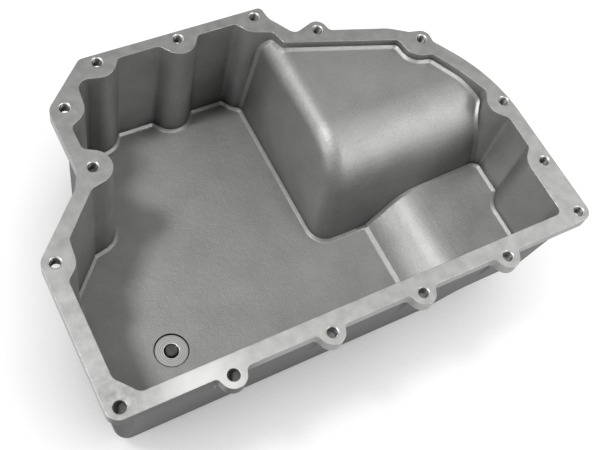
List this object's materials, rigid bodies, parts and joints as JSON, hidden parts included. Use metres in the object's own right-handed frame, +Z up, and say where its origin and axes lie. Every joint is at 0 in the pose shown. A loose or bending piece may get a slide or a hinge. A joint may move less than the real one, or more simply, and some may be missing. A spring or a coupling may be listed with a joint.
{
  "type": "engine oil pan",
  "caption": "Cast aluminium engine oil pan with a deep sump, a raised roof over one corner, a shelf beside it, a bolted sealing flange and a drain plug.",
  "frame": {"origin": "middle of the front row of bolt holes, on the sealing face", "axes": "+X along the front row of bolts towards the shelf, +Y towards the back of the pan, +Z up out of the open side"},
  "size_m": [0.3615, 0.2571, 0.1125],
  "materials": {
    "cast_aluminium": "satin cast skin, milled sealing face",
    "plated_steel": "zinc plated",
    "soft_aluminium": "bright"
  },
  "bodies": {
    "root": {"pan_casting": "cast_aluminium", "drain_plug": "plated_steel", "drain_plug_washer": "soft_aluminium"}
  },
  "joints": []
}
